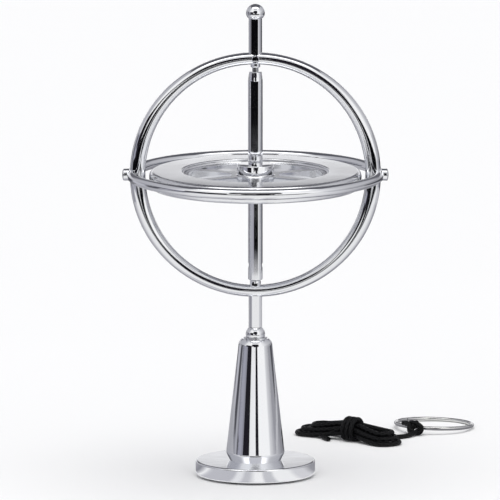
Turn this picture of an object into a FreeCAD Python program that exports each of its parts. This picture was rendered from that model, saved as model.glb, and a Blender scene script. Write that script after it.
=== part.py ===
import FreeCAD, Part
import math
import os

import Sketcher

# Toy gyroscope of chromed zinc that balances on a conical stand, with its pull string beside it.
# Lengths are in millimetres.  The origin is the middle of the underside of the base, +Z is up,
# and the vertical ring of the gyroscope lies in the XZ plane.

doc = FreeCAD.newDocument("gyroscope_on_stand")
sheet = doc.addObject("Spreadsheet::Sheet", "Sizes")

DRIVING_SIZES = [
    # stand
    ("pad_thickness", 0.5),
    ("pad_diameter", 26.5),
    ("base_diameter", 30.0),
    ("base_height", 3.5),
    ("base_edge_radius", 0.5),
    ("tower_foot_diameter", 12.8),
    ("tower_widest_diameter", 14.7),
    ("tower_undercut_height", 1.9),
    ("tower_height", 30.9),
    ("tower_shoulder_diameter", 8.5),
    ("tower_shoulder_drop", 1.6),
    ("tower_shoulder_radius", 2.26),
    ("tower_land_diameter", 6.6),
    ("screw_diameter", 3.0),
    ("screw_grip", 8.0),
    ("screw_head_diameter", 5.6),
    ("screw_head_height", 1.8),
    ("screw_head_recess", 2.2),
    ("screw_key_size", 2.0),
    ("screw_key_depth", 1.1),
    ("screw_clearance", 0.2),
    # ball and cup
    ("ball_diameter", 4.85),
    ("ball_centre_above_tower", 1.0),
    ("cup_clearance", 0.1),
    ("cup_flange_diameter", 5.9),
    ("cup_flange_height", 0.35),
    ("cup_shank_diameter", 5.2),
    ("cup_shank_length", 3.6),
    # rings and stems
    ("lower_stem_length", 10.0),
    ("rotor_to_ring_gap", 0.95),
    ("vertical_ring_wire", 3.9),
    ("vertical_ring_crown_thinning", 0.9),
    ("horizontal_ring_stand_out", 1.5),
    ("horizontal_ring_wire", 2.6),
    ("rivet_seat_depth", 0.7),
    ("rivet_head_diameter", 3.0),
    ("rivet_head_height", 1.75),
    ("rivet_dome_rise", 0.25),
    ("rivet_shank_diameter", 1.6),
    ("rivet_shank_length", 3.2),
    ("stem_diameter", 3.36),
    ("stem_seat_rise", 1.1),
    ("stem_spigot_diameter", 1.9),
    ("stem_ball_clearance", 0.12),
    ("upper_stem_length", 10.3),
    ("upper_ball_diameter", 4.7),
    ("cross_pin_diameter", 1.0),
    ("cross_pin_clearance", 0.05),
    ("cross_pin_head_diameter", 2.1),
    ("cross_pin_head_height", 0.5),
    ("cross_pin_seat_depth", 0.3),
    # bearings
    ("bearing_seat_depth", 0.7),
    ("upper_bearing_diameter", 2.4),
    ("upper_bearing_stand_out", 0.8),
    ("lower_bearing_diameter", 2.7),
    ("lower_bearing_stand_out", 1.2),
    ("bearing_socket_depth", 1.3),
    ("pivot_diameter", 1.55),
    ("pivot_clearance", 0.05),
    ("pivot_end_gap", 0.1),
    ("pivot_seat_length", 2.5),
    # rotor
    ("axle_diameter", 3.64),
    ("axle_gap_below", 0.15),
    ("axle_gap_above", 1.1),
    ("axle_tip_diameter", 3.1),
    ("axle_tip_length", 2.2),
    ("string_hole_diameter", 1.5),
    ("string_hole_height", 3.7),
    ("rotor_diameter", 53.2),
    ("rotor_height", 4.45),
    ("rotor_drop", 3.35),
    ("rotor_shoulder_radius", 1.2),
    ("rim_inner_diameter", 36.8),
    ("web_thickness", 2.2),
    ("web_recess", 1.1),
    ("hub_diameter", 9.1),
    ("hub_rise", 1.6),
    ("window_inner_diameter", 12.2),
    ("window_outer_diameter", 33.8),
    ("spoke_width", 2.8),
    ("spoke_count", 6),
    ("rotor_corner_radius", 0.35),
    ("rotor_fillet_radius", 0.6),
    ("edge_softening", 0.25),
    # pull string
    ("pull_ring_diameter", 20.5),
    ("pull_ring_wire", 1.0),
    ("pull_ring_gap_angle", 2.0),
    ("pull_ring_tilt", 3.4),
    ("cord_diameter", 1.2),
    ("knot_length", 5.2),
    ("knot_diameter", 3.2),
    ("hank_height", 3.6),
    ("hank_middle_width", 6.0),
    ("hank_left_length", 16.4),
    ("hank_left_width", 9.2),
    ("hank_right_length", 14.4),
    ("hank_right_width", 8.4),
    ("hank_wrap_length", 4.4),
    ("hank_wrap_width", 7.4),
    ("hank_wrap_height", 6.1),
    ("hank_wrap_lower_corner", 1.2),
    ("hank_wrap_upper_corner", 2.4),
]

for row, (alias, number) in enumerate(DRIVING_SIZES, start=1):
    sheet.set(f"A{row}", alias)
    sheet.set(f"B{row}", str(number))
    sheet.setAlias(f"B{row}", alias)
doc.recompute()


class Size:
    """A length or count that knows its value and the formula over the sheet that gives it."""

    def __init__(self, value, formula):
        self.value = float(value)
        self.formula = formula

    def __add__(self, other):
        return Size(self.value + value_of(other), f"({self.formula} + {formula_of(other)})")

    def __sub__(self, other):
        return Size(self.value - value_of(other), f"({self.formula} - {formula_of(other)})")

    def __mul__(self, other):
        return Size(self.value * value_of(other), f"({self.formula} * {formula_of(other)})")

    def __truediv__(self, other):
        return Size(self.value / value_of(other), f"({self.formula} / {formula_of(other)})")

    def __neg__(self):
        return Size(-self.value, f"(0 - {self.formula})")


def value_of(term):
    return term.value if isinstance(term, Size) else float(term)


def formula_of(term):
    return term.formula if isinstance(term, Size) else repr(float(term))


def size(alias):
    return Size(getattr(sheet, alias), f"Sizes.{alias}")


def square_root(term):
    return Size(math.sqrt(term.value), f"sqrt({term.formula})")


def cosine(degrees):
    return Size(math.cos(math.radians(degrees.value)), f"cos({degrees.formula} * 1 deg)")


def sine(degrees):
    return Size(math.sin(math.radians(degrees.value)), f"sin({degrees.formula} * 1 deg)")


def bind(thing, path, term):
    """Sets a property of a document object from a size, through an expression."""
    thing.setExpression(path, formula_of(term))


def place(thing, x=0.0, y=0.0, z=0.0, rotation=None):
    """Gives an object its placement: a fixed rotation, and a position bound to sizes."""
    turn = rotation if rotation else FreeCAD.Rotation()
    thing.Placement = FreeCAD.Placement(FreeCAD.Vector(value_of(x), value_of(y), value_of(z)), turn)
    for axis, term in (("x", x), ("y", y), ("z", z)):
        if isinstance(term, Size):
            bind(thing, f"Placement.Base.{axis}", term)


TURN_TO_Y = FreeCAD.Rotation(FreeCAD.Vector(1, 0, 0), -90)
TURN_TO_PLUS_X = FreeCAD.Rotation(FreeCAD.Vector(0, 1, 0), 90)
TURN_TO_MINUS_X = FreeCAD.Rotation(FreeCAD.Vector(0, 1, 0), -90)
UPSIDE_DOWN = FreeCAD.Rotation(FreeCAD.Vector(1, 0, 0), 180)

sub_parts = []


def keep(thing, label):
    """Names a finished sub-part and puts it on the list of files to write."""
    thing.Label = label
    sub_parts.append(thing)
    return thing


# ---------------------------------------------------------------- sketches and bodies

def new_body(label):
    body = doc.addObject("PartDesign::Body", label + "_body")
    return keep(body, label)


def new_sketch(body, name, plane_role):
    sketch = body.newObject("Sketcher::SketchObject", name)
    for plane in body.Origin.OriginFeatures:
        if plane.Role == plane_role:
            sketch.AttachmentSupport = [(plane, "")]
    sketch.MapMode = "FlatFace"
    return sketch


START, END, CENTRE = range(1, 4)
ROOT_POINT = (-1, START)


def fix_coordinate(sketch, kind, geometry, end, term):
    """Holds one coordinate of a sketch point: on the axis, or at a distance that a size gives."""
    if value_of(term) == 0.0:
        axis = -2 if kind == "DistanceX" else -1
        sketch.addConstraint(Sketcher.Constraint("PointOnObject", geometry, end, axis))
        return
    distance = Sketcher.Constraint(kind, *ROOT_POINT, geometry, end, value_of(term))
    index = sketch.addConstraint(distance)
    if isinstance(term, Size):
        bind(sketch, f"Constraints[{index}]", term)


def arc_through(start, end, radius, bulge):
    """The arc of a radius between two points, anticlockwise; a bulge of +1 is to the left."""
    chord = end - start
    half = chord.Length / 2
    middle = (start + end) * 0.5
    left = FreeCAD.Vector(-chord.y, chord.x, 0).normalize()
    sagitta = radius - math.sqrt(max(radius * radius - half * half, 0.0))
    crown = middle + left * (bulge * sagitta)
    return Part.Arc(end, crown, start) if bulge > 0 else Part.Arc(start, crown, end)


def draw_outline(sketch, points, arcs=None):
    """Draws a closed outline through points, each held by sizes; arcs maps a side to radius, bulge."""
    arcs = arcs or {}
    spots = [FreeCAD.Vector(value_of(x), value_of(y), 0) for x, y in points]
    count = len(points)
    ends = []
    for side in range(count):
        start = spots[side]
        end = spots[(side + 1) % count]
        if side in arcs:
            radius, bulge = arcs[side]
            curve = arc_through(start, end, value_of(radius), bulge)
        else:
            curve = Part.LineSegment(start, end)
        index = sketch.addGeometry(curve, False)
        drawn = sketch.Geometry[index]
        forward = (drawn.StartPoint - start).Length < (drawn.EndPoint - start).Length
        ends.append((index, START, END) if forward else (index, END, START))
    for side in range(count):
        index, first, last = ends[side]
        following, following_first, _ = ends[(side + 1) % count]
        sketch.addConstraint(Sketcher.Constraint("Coincident", index, last, following, following_first))
    for side, (x, y) in enumerate(points):
        index, first, _ = ends[side]
        fix_coordinate(sketch, "DistanceX", index, first, x)
        fix_coordinate(sketch, "DistanceY", index, first, y)
    for side, (radius, _) in arcs.items():
        index = ends[side][0]
        at = sketch.addConstraint(Sketcher.Constraint("Radius", index, value_of(radius)))
        if isinstance(radius, Size):
            bind(sketch, f"Constraints[{at}]", radius)


def draw_circle(sketch, diameter, x=0.0, y=0.0):
    centre = FreeCAD.Vector(value_of(x), value_of(y), 0)
    circle = Part.Circle(centre, FreeCAD.Vector(0, 0, 1), diameter.value / 2)
    index = sketch.addGeometry(circle, False)
    fix_coordinate(sketch, "DistanceX", index, CENTRE, x)
    fix_coordinate(sketch, "DistanceY", index, CENTRE, y)
    at = sketch.addConstraint(Sketcher.Constraint("Diameter", index, diameter.value))
    bind(sketch, f"Constraints[{at}]", diameter)


def turn(body, name, points, arcs=None):
    """Turns a half section, given as (radius, height) points, about the body's Z axis."""
    sketch = new_sketch(body, name + "_section", "XZ_Plane")
    draw_outline(sketch, points, arcs)
    feature = body.newObject("PartDesign::Revolution", name)
    feature.Profile = sketch
    feature.ReferenceAxis = (sketch, ["V_Axis"])
    feature.Angle = 360
    doc.recompute()
    return feature


def cut_through(body, name, sketch):
    """Cuts a sketch's outline right through the body, to both sides of its plane."""
    pocket = body.newObject("PartDesign::Pocket", name)
    pocket.Profile = sketch
    pocket.Type = "ThroughAll"
    pocket.Midplane = True
    before = body.Shape.Volume
    doc.recompute()
    if not body.Shape.Volume < before:
        raise RuntimeError(f"{name} cuts nothing")
    return pocket


def new_primitive(kind, name, **measures):
    """A Part primitive whose measures are bound to sizes."""
    thing = doc.addObject(kind, name)
    for path, term in measures.items():
        if isinstance(term, Size):
            bind(thing, path, term)
        else:
            setattr(thing, path, term)
    return thing


def cut_from(label, base, tools):
    """A sub-part made by cutting tool shapes away from a base shape."""
    result = doc.addObject("Part::Cut", label + "_cut")
    result.Base = base
    if len(tools) == 1:
        result.Tool = tools[0]
    else:
        result.Tool = doc.addObject("Part::MultiFuse", label + "_tools")
        result.Tool.Shapes = tools
    doc.recompute()
    if not result.Shape.Volume < base.Shape.Volume:
        raise RuntimeError(f"{label}: the tools cut nothing")
    return keep(result, label)


# ---------------------------------------------------------------- heights that the pieces share

base_underside = size("pad_thickness")
base_top = base_underside + size("base_height")
tower_top = base_top + size("tower_height")
ball_centre = tower_top + size("ball_centre_above_tower")
ring_wire_radius = size("vertical_ring_wire") / 2
ring_inside = size("rotor_diameter") / 2 + size("rotor_to_ring_gap")
ring_radius = ring_inside + ring_wire_radius
ring_thinning = size("vertical_ring_crown_thinning") / 2
crown_inside = ring_inside + ring_thinning
stem_seat = ring_radius + size("stem_seat_rise")
ring_centre = ball_centre + size("lower_stem_length") + stem_seat

# ---------------------------------------------------------------- stand

# Round foam pad stuck under the base; it hides the screw.
pad = new_primitive("Part::Cylinder", "pad", Radius=size("pad_diameter") / 2,
                    Height=size("pad_thickness"))
keep(pad, "base_pad")

# Base disc, turned, with a rounded top edge and a counterbored screw hole.
base = new_body("base_disc")
base_radius = size("base_diameter") / 2
base_edge = size("base_edge_radius")
screw_hole = size("screw_diameter") / 2 + size("screw_clearance")
head_hole = size("screw_head_diameter") / 2 + size("screw_clearance")
turn(base, "base_plate", [
    (head_hole, 0.0),
    (base_radius - size("edge_softening"), 0.0),
    (base_radius, size("edge_softening")),
    (base_radius, size("base_height") - base_edge),
    (base_radius - base_edge, size("base_height")),
    (screw_hole, size("base_height")),
    (screw_hole, size("screw_head_recess")),
    (head_hole, size("screw_head_recess")),
], {3: (base_edge, -1)})
place(base, z=base_underside)

# Tower: a cone on an undercut foot, rounded at the top, bored for the cup and for the screw.
tower = new_body("tower")
foot_radius = size("tower_foot_diameter") / 2
widest_radius = size("tower_widest_diameter") / 2
shoulder_radius = size("tower_shoulder_diameter") / 2
land_radius = size("tower_land_diameter") / 2
cup_shank_radius = size("cup_shank_diameter") / 2
screw_radius = size("screw_diameter") / 2
turn(tower, "tower_cone", [
    (screw_radius, 0.0),
    (foot_radius, 0.0),
    (widest_radius, size("tower_undercut_height")),
    (shoulder_radius, size("tower_height") - size("tower_shoulder_drop")),
    (land_radius, size("tower_height")),
    (cup_shank_radius, size("tower_height")),
    (cup_shank_radius, size("tower_height") - size("cup_shank_length")),
    (0.0, size("tower_height") - size("cup_shank_length")),
    (0.0, size("screw_grip")),
    (screw_radius, size("screw_grip")),
], {3: (size("tower_shoulder_radius"), -1)})
place(tower, z=base_top)

# Screw that holds the tower on the base from below, with a hexagon socket.
screw_seat = base_underside + size("screw_head_recess")
screw_blank = new_primitive("Part::Cylinder", "screw_shank", Radius=screw_radius,
                            Height=size("screw_grip") + (base_top - screw_seat))
place(screw_blank, z=screw_seat)
screw_head = new_primitive("Part::Cylinder", "screw_head", Radius=size("screw_head_diameter") / 2,
                           Height=size("screw_head_height"))
place(screw_head, z=screw_seat - size("screw_head_height"))
screw_body = doc.addObject("Part::Fuse", "screw_blank")
screw_body.Base = screw_blank
screw_body.Tool = screw_head
screw_key = new_primitive("Part::Prism", "screw_key", Polygon=6,
                          Circumradius=size("screw_key_size") / math.sqrt(3.0),
                          Height=size("screw_key_depth"))
place(screw_key, z=screw_seat - size("screw_head_height"))
cut_from("tower_screw", screw_body, [screw_key])

# Cup pressed into the top of the tower, with a ball-shaped seat.
cup_blank = doc.addObject("PartDesign::Body", "cup_blank_body")
cup_flange_radius = size("cup_flange_diameter") / 2
turn(cup_blank, "cup_blank", [
    (0.0, -size("cup_shank_length")),
    (cup_shank_radius, -size("cup_shank_length")),
    (cup_shank_radius, 0.0),
    (cup_flange_radius, 0.0),
    (cup_flange_radius, size("cup_flange_height")),
    (0.0, size("cup_flange_height")),
])
place(cup_blank, z=tower_top)
cup_seat = new_primitive("Part::Sphere", "cup_seat",
                         Radius=size("ball_diameter") / 2 + size("cup_clearance"))
place(cup_seat, z=ball_centre)
cut_from("pivot_cup", cup_blank, [cup_seat])

# ---------------------------------------------------------------- gyroscope frame

# Ball that turns in the cup.
ball = new_primitive("Part::Sphere", "ball", Radius=size("ball_diameter") / 2)
place(ball, z=ball_centre)
keep(ball, "lower_ball")

ring_outside = ring_radius + ring_wire_radius
stem_radius = size("stem_diameter") / 2
spigot_radius = size("stem_spigot_diameter") / 2
bearing_seat = ring_radius - size("bearing_seat_depth")

# Lower stem: its spigot goes up into the ring, and its end is hollowed to clear the ball.
lower_stem_length = size("lower_stem_length")
spigot_length = stem_seat - bearing_seat
lower_blank = doc.addObject("PartDesign::Body", "lower_stem_blank_body")
turn(lower_blank, "lower_stem_blank", [
    (0.0, 0.0),
    (stem_radius, 0.0),
    (stem_radius, lower_stem_length),
    (spigot_radius, lower_stem_length),
    (spigot_radius, lower_stem_length + spigot_length),
    (0.0, lower_stem_length + spigot_length),
])
place(lower_blank, z=ball_centre)
ball_space = new_primitive("Part::Sphere", "ball_space",
                           Radius=size("ball_diameter") / 2 + size("stem_ball_clearance"))
place(ball_space, z=ball_centre)
cut_from("lower_stem", lower_blank, [ball_space])

# Upper stem, turned in one piece with the ball at its end and the spigot at its root.
upper_stem = new_body("upper_stem")
upper_ball_radius = size("upper_ball_diameter") / 2
neck_drop = square_root(upper_ball_radius * upper_ball_radius - stem_radius * stem_radius)
upper_ball_centre = size("upper_stem_length")
turn(upper_stem, "upper_stem_turned", [
    (0.0, -spigot_length),
    (spigot_radius, -spigot_length),
    (spigot_radius, 0.0),
    (stem_radius, 0.0),
    (stem_radius, upper_ball_centre - neck_drop),
    (upper_ball_radius, upper_ball_centre),
    (0.0, upper_ball_centre + upper_ball_radius),
], {4: (upper_ball_radius, -1), 5: (upper_ball_radius, -1)})
pin_hole_in_stem = new_sketch(upper_stem, "cross_pin_hole_section", "XZ_Plane")
draw_circle(pin_hole_in_stem, size("cross_pin_diameter") + size("cross_pin_clearance") * 2,
            y=-size("stem_seat_rise"))
cut_through(upper_stem, "cross_pin_hole", pin_hole_in_stem)
place(upper_stem, z=ring_centre + stem_seat)

# Cross pin, front to back through the ring and the spigot, with a low round head at each end.
pin_reach = ring_wire_radius - size("cross_pin_seat_depth")
pin_head_radius = size("cross_pin_head_diameter") / 2
pin_radius = size("cross_pin_diameter") / 2
pin_head_tip = pin_reach + size("cross_pin_head_height")
cross_pin = new_body("stem_cross_pin")
turn(cross_pin, "cross_pin_turned", [
    (0.0, -pin_head_tip),
    (pin_radius, -pin_head_tip),
    (pin_head_radius, -pin_reach),
    (pin_radius, -pin_reach),
    (pin_radius, pin_reach),
    (pin_head_radius, pin_reach),
    (pin_radius, pin_head_tip),
    (0.0, pin_head_tip),
])
place(cross_pin, z=ring_centre + ring_radius, rotation=TURN_TO_Y)

# Vertical ring: a bent rod, thinner at its top and bottom than at its sides.  It is notched outside
# for the horizontal ring and drilled for what it holds.
RING_SECTION_COUNT = 12
ALONG_Y = FreeCAD.Vector(0, 1, 0)
ring_sections = []
for station in range(RING_SECTION_COUNT):
    angle = 2 * math.pi * (station + 0.5) / RING_SECTION_COUNT
    outward = FreeCAD.Vector(math.cos(angle), 0, math.sin(angle))
    section = new_primitive("Part::Ellipse", f"ring_section_{station}", MajorRadius=ring_wire_radius,
                            MinorRadius=ring_wire_radius - ring_thinning * outward.z ** 2)
    place(section, x=ring_radius * outward.x, z=ring_centre + ring_radius * outward.z,
          rotation=FreeCAD.Rotation(ALONG_Y, outward, ALONG_Y.cross(outward), "XYZ"))
    ring_sections.append(section)
ring_rod = doc.addObject("Part::Loft", "vertical_ring_rod")
ring_rod.Sections = ring_sections
ring_rod.Solid = True
ring_rod.Closed = True


def new_drill(name, radius, low, high, up=True):
    """A cylinder on the Z axis between two distances above (or below) the ring's centre."""
    drill = new_primitive("Part::Cylinder", name, Radius=radius, Height=high - low)
    if up:
        place(drill, z=ring_centre + low)
    else:
        place(drill, z=ring_centre - low, rotation=UPSIDE_DOWN)
    return drill


def new_side_drill(name, radius, low, high, right=True):
    """A cylinder along the X axis between two distances from the ring's centre."""
    drill = new_primitive("Part::Cylinder", name, Radius=radius, Height=high - low)
    if right:
        place(drill, x=low, z=ring_centre, rotation=TURN_TO_PLUS_X)
    else:
        place(drill, x=-low, z=ring_centre, rotation=TURN_TO_MINUS_X)
    return drill


side_ring_radius = ring_radius + size("horizontal_ring_stand_out")
side_wire_radius = size("horizontal_ring_wire") / 2
rivet_seat = side_ring_radius + side_wire_radius - size("rivet_seat_depth")
rivet_end = rivet_seat - size("rivet_shank_length")
rivet_radius = size("rivet_shank_diameter") / 2
rivet_head_radius = size("rivet_head_diameter") / 2
upper_bearing_radius = size("upper_bearing_diameter") / 2
lower_bearing_radius = size("lower_bearing_diameter") / 2
clear_outside = ring_outside + stem_radius

ring_cuts = []
side_notch = new_primitive("Part::Torus", "side_notch", Radius1=side_ring_radius,
                           Radius2=side_wire_radius)
place(side_notch, z=ring_centre)
ring_cuts.append(side_notch)
for end, up, bearing_radius in (("upper", True, upper_bearing_radius),
                                ("lower", False, lower_bearing_radius)):
    ring_cuts.append(new_drill(f"{end}_stem_seat", stem_radius, stem_seat, clear_outside, up))
    ring_cuts.append(new_drill(f"{end}_spigot_hole", spigot_radius, bearing_seat, stem_seat, up))
    ring_cuts.append(new_drill(f"{end}_bearing_hole", bearing_radius,
                               crown_inside - bearing_radius, bearing_seat, up))
for side, right in (("right", True), ("left", False)):
    ring_cuts.append(new_side_drill(f"{side}_rivet_hole", rivet_radius, rivet_end, rivet_seat, right))
pin_hole = new_primitive("Part::Cylinder", "cross_pin_hole", Radius=pin_radius, Height=pin_reach * 2)
place(pin_hole, y=-pin_reach, z=ring_centre + ring_radius, rotation=TURN_TO_Y)
ring_cuts.append(pin_hole)
for side, facing in (("back", TURN_TO_Y), ("front", TURN_TO_Y.inverted())):
    spot = new_primitive("Part::Cylinder", f"{side}_pin_seat", Radius=pin_head_radius,
                         Height=pin_head_tip - pin_reach)
    place(spot, y=pin_reach if side == "back" else -pin_reach,
          z=ring_centre + ring_radius, rotation=facing)
    ring_cuts.append(spot)
cut_from("vertical_ring", ring_rod, ring_cuts)

# Horizontal ring: a thinner rod in the notches of the vertical one, spot-faced for the rivet heads.
side_rod = new_primitive("Part::Torus", "horizontal_ring_rod", Radius1=side_ring_radius,
                         Radius2=side_wire_radius)
place(side_rod, z=ring_centre)
side_cuts = []
for side, right in (("right", True), ("left", False)):
    side_cuts.append(new_side_drill(f"{side}_shank_hole", rivet_radius,
                                    side_ring_radius - side_wire_radius * 2, rivet_seat, right))
    side_cuts.append(new_side_drill(f"{side}_head_seat", rivet_head_radius, rivet_seat,
                                    rivet_seat + side_wire_radius, right))
cut_from("horizontal_ring", side_rod, side_cuts)

# Rivets with nearly flat heads, one at each side, through both rings.
for side, rotation, reach in (("right", TURN_TO_PLUS_X, rivet_seat),
                              ("left", TURN_TO_MINUS_X, -rivet_seat)):
    rivet = new_body(f"{side}_ring_rivet")
    rivet_head = size("rivet_head_height")
    dome_rise = size("rivet_dome_rise")
    dome_radius = (rivet_head_radius * rivet_head_radius + dome_rise * dome_rise) / dome_rise / 2
    turn(rivet, f"{side}_rivet_turned", [
        (0.0, -size("rivet_shank_length")),
        (rivet_radius, -size("rivet_shank_length")),
        (rivet_radius, 0.0),
        (rivet_head_radius, 0.0),
        (rivet_head_radius, rivet_head - dome_rise),
        (0.0, rivet_head),
    ], {4: (dome_radius, -1)})
    place(rivet, x=reach, z=ring_centre, rotation=rotation)

# Bearings: bushes pressed into the ring from inside, each with a blind socket for a pivot.
socket_radius = size("pivot_diameter") / 2 + size("pivot_clearance")
socket_depth = size("bearing_socket_depth")


def add_bearing(label, radius, stand_out, rotation, seat_height):
    """A bush whose face stands out of the ring towards the rotor; local Z points at the rotor."""
    bush = new_body(label)
    face = (bearing_seat - crown_inside) + stand_out
    chamfer = size("edge_softening")
    turn(bush, label + "_turned", [
        (0.0, 0.0),
        (radius, 0.0),
        (radius, face - chamfer),
        (radius - chamfer, face),
        (socket_radius, face),
        (socket_radius, face - socket_depth),
        (0.0, face - socket_depth),
    ])
    place(bush, z=seat_height, rotation=rotation)


add_bearing("upper_bearing", upper_bearing_radius, size("upper_bearing_stand_out"),
            UPSIDE_DOWN, ring_centre + bearing_seat)
add_bearing("lower_bearing", lower_bearing_radius, size("lower_bearing_stand_out"),
            None, ring_centre - bearing_seat)
upper_face = ring_centre + crown_inside - size("upper_bearing_stand_out")
upper_socket_end = upper_face + socket_depth
lower_face = ring_centre - crown_inside + size("lower_bearing_stand_out")
lower_socket_end = lower_face - socket_depth

# ---------------------------------------------------------------- rotor

# Axle: a rod with a tapered upper end, bored for a pivot at each end and cross-drilled for the string.
axle_bottom = lower_face + size("axle_gap_below")
axle_top = upper_face - size("axle_gap_above")
axle_length = axle_top - axle_bottom
axle_radius = size("axle_diameter") / 2
axle_tip_radius = size("axle_tip_diameter") / 2
pivot_radius = size("pivot_diameter") / 2
pivot_seat = size("pivot_seat_length")
axle = new_body("axle")
turn(axle, "axle_rod", [
    (pivot_radius, 0.0),
    (axle_radius - size("edge_softening"), 0.0),
    (axle_radius, size("edge_softening")),
    (axle_radius, axle_length - size("axle_tip_length")),
    (axle_tip_radius, axle_length),
    (pivot_radius, axle_length),
    (pivot_radius, axle_length - pivot_seat),
    (0.0, axle_length - pivot_seat),
    (0.0, pivot_seat),
    (pivot_radius, pivot_seat),
])
string_hole = new_sketch(axle, "string_hole_section", "YZ_Plane")
draw_circle(string_hole, size("string_hole_diameter"), y=size("string_hole_height"))
cut_through(axle, "string_hole", string_hole)
place(axle, z=axle_bottom)

# Hardened pivots pressed into the ends of the axle; each ends in a shallow cone in its bearing.
end_gap = size("pivot_end_gap")


def add_pivot(label, reach, rotation, at):
    """A pin from its seat in the axle out to its end; local Z points away from the axle."""
    pin = new_body(label)
    cone = size("edge_softening")
    turn(pin, label + "_turned", [
        (0.0, -pivot_seat),
        (pivot_radius, -pivot_seat),
        (pivot_radius, reach - cone),
        (pivot_radius - cone, reach),
        (0.0, reach),
    ])
    place(pin, z=at, rotation=rotation)


add_pivot("upper_pivot", upper_socket_end - axle_top - end_gap, None, axle_top)
add_pivot("lower_pivot", axle_bottom - lower_socket_end - end_gap, UPSIDE_DOWN, axle_bottom)

# Rotor wheel: heavy rim, thin web with straight spokes between its windows, and a raised hub.
rotor = new_body("rotor_wheel")
rim_radius = size("rotor_diameter") / 2
rim_inner = size("rim_inner_diameter") / 2
rim_corner = size("rotor_shoulder_radius")
rotor_height = size("rotor_height")
web_bottom = rotor_height - size("web_recess") - size("web_thickness")
web_top = rotor_height - size("web_recess")
hub_radius = size("hub_diameter") / 2
hub_top = rotor_height + size("hub_rise")
hub_bottom = -size("hub_rise")
corner = size("rotor_corner_radius")
fillet = size("rotor_fillet_radius")
turn(rotor, "rotor_turned", [
    (axle_radius, hub_bottom),
    (hub_radius - corner, hub_bottom),
    (hub_radius, hub_bottom + corner),
    (hub_radius, web_bottom - fillet),
    (hub_radius + fillet, web_bottom),
    (rim_inner - fillet, web_bottom),
    (rim_inner, web_bottom - fillet),
    (rim_inner, corner),
    (rim_inner + corner, 0.0),
    (rim_radius - rim_corner, 0.0),
    (rim_radius, rim_corner),
    (rim_radius, rotor_height - rim_corner),
    (rim_radius - rim_corner, rotor_height),
    (rim_inner + corner, rotor_height),
    (rim_inner, rotor_height - corner),
    (rim_inner, web_top + fillet),
    (rim_inner - fillet, web_top),
    (hub_radius + fillet, web_top),
    (hub_radius, web_top + fillet),
    (hub_radius, hub_top - corner),
    (hub_radius - corner, hub_top),
    (axle_radius, hub_top),
], {
    1: (corner, -1),
    3: (fillet, 1),
    5: (fillet, 1),
    7: (corner, -1),
    9: (rim_corner, -1),
    11: (rim_corner, -1),
    13: (corner, -1),
    15: (fillet, 1),
    17: (fillet, 1),
    19: (corner, -1),
})
spoke_half = size("spoke_width") / 2
half_turn = Size(180.0, "180") / size("spoke_count")


def window_corner(diameter, side):
    """Where a window's edge, beside a spoke, meets a circle; side is +1 or -1 off the middle."""
    circle = diameter / 2
    along = square_root(circle * circle - spoke_half * spoke_half)
    x = along * cosine(half_turn) + spoke_half * sine(half_turn)
    y = along * sine(half_turn) - spoke_half * cosine(half_turn)
    return (x, y * side)


window = new_sketch(rotor, "window_outline", "XY_Plane")
draw_outline(window, [
    window_corner(size("window_inner_diameter"), -1),
    window_corner(size("window_outer_diameter"), -1),
    window_corner(size("window_outer_diameter"), 1),
    window_corner(size("window_inner_diameter"), 1),
], {1: (size("window_outer_diameter") / 2, -1), 3: (size("window_inner_diameter") / 2, 1)})
window_cut = cut_through(rotor, "window", window)
spokes = rotor.newObject("PartDesign::PolarPattern", "windows")
spokes.Originals = [window_cut]
spokes.Axis = (window, ["N_Axis"])
spokes.Angle = 360
bind(spokes, "Occurrences", size("spoke_count"))
rotor.Tip = spokes
place(rotor, z=ring_centre - size("rotor_drop"))

# ---------------------------------------------------------------- pull string

# The string lies on the table behind and to the right of the stand.
PULL_RING_CENTRE = (45.8, 66.7)
KNOT_DIRECTION = 238.0
GAP_DIRECTION = 137.0
HANK_CENTRE = (24.48, 49.5)
HANK_DIRECTION = -37.3

pull_wire_radius = size("pull_ring_wire") / 2
pull_ring_radius = size("pull_ring_diameter") / 2 - pull_wire_radius
pull_ring_height = pull_wire_radius + pull_ring_radius * sine(size("pull_ring_tilt"))
vertical = FreeCAD.Vector(0, 0, 1)
knot_angle = math.radians(KNOT_DIRECTION)
tilt_axis = FreeCAD.Vector(math.sin(knot_angle), -math.cos(knot_angle), 0)
ring_tilt = FreeCAD.Rotation(tilt_axis, size("pull_ring_tilt").value)

# Pull ring: bent wire whose ends nearly meet, lifted a little on the side of the knot.
pull_ring = new_primitive("Part::Torus", "pull_ring_wire", Radius1=pull_ring_radius,
                          Radius2=pull_wire_radius,
                          Angle3=Size(360.0, "360") - size("pull_ring_gap_angle"))
gap_turn = FreeCAD.Rotation(vertical, GAP_DIRECTION)
place(pull_ring, PULL_RING_CENTRE[0], PULL_RING_CENTRE[1], pull_ring_height,
      ring_tilt.multiply(gap_turn))
keep(pull_ring, "pull_ring")

# Knot: the cord is tied round the wire, and its turns stand up beside it as one small bundle.
cord_radius = size("cord_diameter") / 2
knot_radius = size("knot_diameter") / 2
knot_on_wire = FreeCAD.Vector(math.cos(knot_angle), math.sin(knot_angle), 0) * pull_ring_radius.value
knot_inset = cord_radius.value * 2
knot_start = (PULL_RING_CENTRE[0] + knot_on_wire.x,
              PULL_RING_CENTRE[1] + knot_on_wire.y + knot_inset)
knot_turn = FreeCAD.Rotation(vertical, 10.0).multiply(FreeCAD.Rotation(FreeCAD.Vector(1, 0, 0), 90))
knot_blank = new_primitive("Part::Cylinder", "knot_blank", Radius=knot_radius,
                           Height=size("knot_length"))
place(knot_blank, knot_start[0], knot_start[1], knot_radius, knot_turn)
knot_wire = new_primitive("Part::Torus", "wire_in_knot", Radius1=pull_ring_radius,
                          Radius2=pull_wire_radius)
place(knot_wire, PULL_RING_CENTRE[0], PULL_RING_CENTRE[1], pull_ring_height, ring_tilt)
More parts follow.
